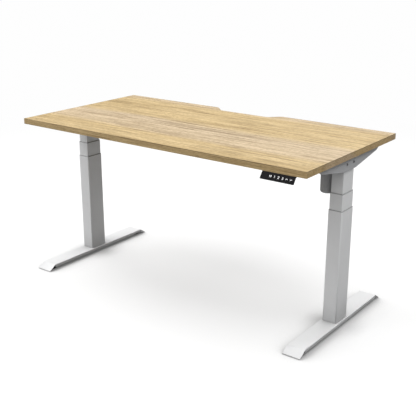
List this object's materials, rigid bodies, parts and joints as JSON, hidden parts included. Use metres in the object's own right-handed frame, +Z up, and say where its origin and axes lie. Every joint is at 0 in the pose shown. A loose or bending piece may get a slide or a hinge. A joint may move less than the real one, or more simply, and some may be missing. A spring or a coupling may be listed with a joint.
{
  "type": "height adjustable standing desk",
  "caption": "Sit-stand desk: an oak-faced top with a rear cable scallop on two electric three-stage lifting columns with T feet and a key handset.",
  "frame": {"origin": "on the floor, at the middle of the footprint's box", "axes": "+Z up, -Y towards the user, +X to the user's right, where the handset is"},
  "size_m": [1.5, 0.768, 0.7565],
  "materials": {
    "light_oak": "light oak melamine, satin",
    "oak_edge": "oak edge banding, satin",
    "frame_paint": "light silver-grey powder coat, satin",
    "bracket_paint": "silver-grey powder coat, satin",
    "beam_paint": "black powder coat, satin",
    "cover_plastic": "grey moulded plastic",
    "guide_plastic": "dark grey moulded plastic",
    "black_plastic": "black moulded plastic, fine grain",
    "black_gloss": "black gloss plastic",
    "key_plastic": "black moulded plastic",
    "lead_jacket": "black PVC jacket",
    "rubber": "black rubber",
    "clip_plastic": "natural nylon",
    "zinc_steel": "zinc-plated steel",
    "bare_steel": "machined steel",
    "housing_metal": "die-cast aluminium",
    "gear_nylon": "natural nylon",
    "circuit_board": "green laminate",
    "motor_can": "black enamel"
  },
  "bodies": {
    "base_left": {"outer_tube_left": "frame_paint", "outer_guide_left": "guide_plastic", "base_post_left": "bare_steel", "foot_left": "frame_paint", "foot_bolts_left": "zinc_steel"},
    "middle_left": {"middle_tube_left": "frame_paint", "middle_post_left": "bare_steel", "middle_guide_left": "guide_plastic"},
    "top": {"desktop_board": "light_oak", "edge_banding": "oak_edge", "side_bracket_left": "bracket_paint", "side_bracket_right": "bracket_paint", "crossbeam_left": "beam_paint", "crossbeam_right": "beam_paint", "frame_screws": "zinc_steel", "spindle_bearings": "bare_steel", "control_box_base": "black_plastic", "control_box_cover": "black_plastic", "control_board": "circuit_board", "mains_inlet": "black_plastic", "handset_body": "black_plastic", "handset_fascia": "black_gloss", "handset_display": "black_gloss", "handset_lead": "lead_jacket", "motor_lead": "lead_jacket", "lead_clips": "clip_plastic", "inner_tube_left": "frame_paint", "inner_tube_right": "frame_paint", "gear_housing_left": "housing_metal", "gear_housing_right": "housing_metal", "motor": "motor_can", "motor_cover": "cover_plastic"},
    "middle_right": {"middle_tube_right": "frame_paint", "middle_post_right": "bare_steel", "middle_guide_right": "guide_plastic"},
    "base_right": {"outer_tube_right": "frame_paint", "outer_guide_right": "guide_plastic", "base_post_right": "bare_steel", "foot_right": "frame_paint", "foot_bolts_right": "zinc_steel"},
    "spindle_left": {"spindle_left": "bare_steel"},
    "hollow_screw_left": {"hollow_screw_left": "bare_steel"},
    "spindle_right": {"spindle_right": "bare_steel"},
    "hollow_screw_right": {"hollow_screw_right": "bare_steel"},
    "idler_gear": {"idler_gear": "gear_nylon"},
    "motor_pinion": {"motor_pinion": "bare_steel"},
    "drive_shaft": {"drive_shaft": "bare_steel"},
    "leveller_front_left": {"leveller_front_left": "rubber"},
    "leveller_rear_left": {"leveller_rear_left": "rubber"},
    "leveller_front_right": {"leveller_front_right": "rubber"},
    "leveller_rear_right": {"leveller_rear_right": "rubber"},
    "key_memory": {"key_memory": "key_plastic"},
    "key_preset_1": {"key_preset_1": "key_plastic"},
    "key_preset_2": {"key_preset_2": "key_plastic"},
    "key_preset_3": {"key_preset_3": "key_plastic"},
    "key_up": {"key_up": "key_plastic"},
    "key_down": {"key_down": "key_plastic"}
  },
  "joints": [
    {"name": "left_lower_lift", "type": "slide", "parent": "base_left", "child": "middle_left", "axis": [0, 0, 1], "range_m": [-0.065, 0.257]},
    {"name": "left_upper_lift", "type": "slide", "parent": "middle_left", "child": "top", "axis": [0, 0, 1], "range_m": [-0.065, 0.257]},
    {"name": "right_upper_lift", "type": "slide", "parent": "top", "child": "middle_right", "axis": [0, 0, -1], "range_m": [-0.065, 0.257]},
    {"name": "right_lower_lift", "type": "slide", "parent": "middle_right", "child": "base_right", "axis": [0, 0, -1], "range_m": [-0.065, 0.257]},
    {"name": "spindle_left_turn", "type": "hinge", "parent": "top", "child": "spindle_left", "pos_m": [-0.705, 0.00003, 0.6], "axis": [0, 0, 1], "range_deg": [-7712, 1952]},
    {"name": "hollow_screw_left_turn", "type": "hinge", "parent": "middle_left", "child": "hollow_screw_left", "pos_m": [-0.705, 0.00003, 0.6], "axis": [0, 0, 1], "range_deg": [-7712, 1952]},
    {"name": "spindle_right_turn", "type": "hinge", "parent": "top", "child": "spindle_right", "pos_m": [0.705, 0.00003, 0.6], "axis": [0, 0, 1], "range_deg": [-1952, 7712]},
    {"name": "hollow_screw_right_turn", "type": "hinge", "parent": "middle_right", "child": "hollow_screw_right", "pos_m": [0.705, 0.00003, 0.6], "axis": [0, 0, 1], "range_deg": [-1952, 7712]},
    {"name": "idler_gear_turn", "type": "hinge", "parent": "top", "child": "idler_gear", "pos_m": [0.66875, 0.00003, 0.6], "axis": [0, 0, 1], "range_deg": [-12619, 3193]},
    {"name": "motor_pinion_turn", "type": "hinge", "parent": "top", "child": "motor_pinion", "pos_m": [0.64187, 0.00003, 0.6], "axis": [0, 0, 1], "range_deg": [-3345, 13220]},
    {"name": "drive_shaft_turn", "type": "hinge", "parent": "top", "child": "drive_shaft", "pos_m": [0, 0.00003, 0.7133], "axis": [1, 0, 0], "range_deg": [-15422, 3902]},
    {"name": "leveller_front_left_screw", "type": "slide", "parent": "base_left", "child": "leveller_front_left", "axis": [0, 0, -1], "range_m": [0, 0.009]},
    {"name": "leveller_rear_left_screw", "type": "slide", "parent": "base_left", "child": "leveller_rear_left", "axis": [0, 0, -1], "range_m": [0, 0.009]},
    {"name": "leveller_front_right_screw", "type": "slide", "parent": "base_right", "child": "leveller_front_right", "axis": [0, 0, -1], "range_m": [0, 0.009]},
    {"name": "leveller_rear_right_screw", "type": "slide", "parent": "base_right", "child": "leveller_rear_right", "axis": [0, 0, -1], "range_m": [0, 0.009]},
    {"name": "key_memory_press", "type": "slide", "parent": "top", "child": "key_memory", "axis": [0, 0.7986, -0.6018], "range_m": [0, 0.0006], "stiffness_N_per_m": 800, "springref_m": -0.0003},
    {"name": "key_preset_1_press", "type": "slide", "parent": "top", "child": "key_preset_1", "axis": [0, 0.7986, -0.6018], "range_m": [0, 0.0006], "stiffness_N_per_m": 800, "springref_m": -0.0003},
    {"name": "key_preset_2_press", "type": "slide", "parent": "top", "child": "key_preset_2", "axis": [0, 0.7986, -0.6018], "range_m": [0, 0.0006], "stiffness_N_per_m": 800, "springref_m": -0.0003},
    {"name": "key_preset_3_press", "type": "slide", "parent": "top", "child": "key_preset_3", "axis": [0, 0.7986, -0.6018], "range_m": [0, 0.0006], "stiffness_N_per_m": 800, "springref_m": -0.0003},
    {"name": "key_up_press", "type": "slide", "parent": "top", "child": "key_up", "axis": [0, 0.7986, -0.6018], "range_m": [0, 0.0006], "stiffness_N_per_m": 800, "springref_m": -0.0003},
    {"name": "key_down_press", "type": "slide", "parent": "top", "child": "key_down", "axis": [0, 0.7986, -0.6018], "range_m": [0, 0.0006], "stiffness_N_per_m": 800, "springref_m": -0.0003}
  ],
  "couplings": [
    {"joint": "left_upper_lift", "follows": "left_lower_lift", "ratio": 1},
    {"joint": "right_upper_lift", "follows": "left_lower_lift", "ratio": 1},
    {"joint": "right_lower_lift", "follows": "left_lower_lift", "ratio": 1},
    {"joint": "spindle_left_turn", "follows": "left_lower_lift", "rad_per_m": -523.6},
    {"joint": "hollow_screw_left_turn", "follows": "left_lower_lift", "rad_per_m": -523.6},
    {"joint": "spindle_right_turn", "follows": "left_lower_lift", "rad_per_m": 523.6},
    {"joint": "hollow_screw_right_turn", "follows": "left_lower_lift", "rad_per_m": 523.6},
    {"joint": "idler_gear_turn", "follows": "left_lower_lift", "rad_per_m": -856.8},
    {"joint": "motor_pinion_turn", "follows": "left_lower_lift", "rad_per_m": 897.6},
    {"joint": "drive_shaft_turn", "follows": "left_lower_lift", "rad_per_m": -1047.2}
  ]
}
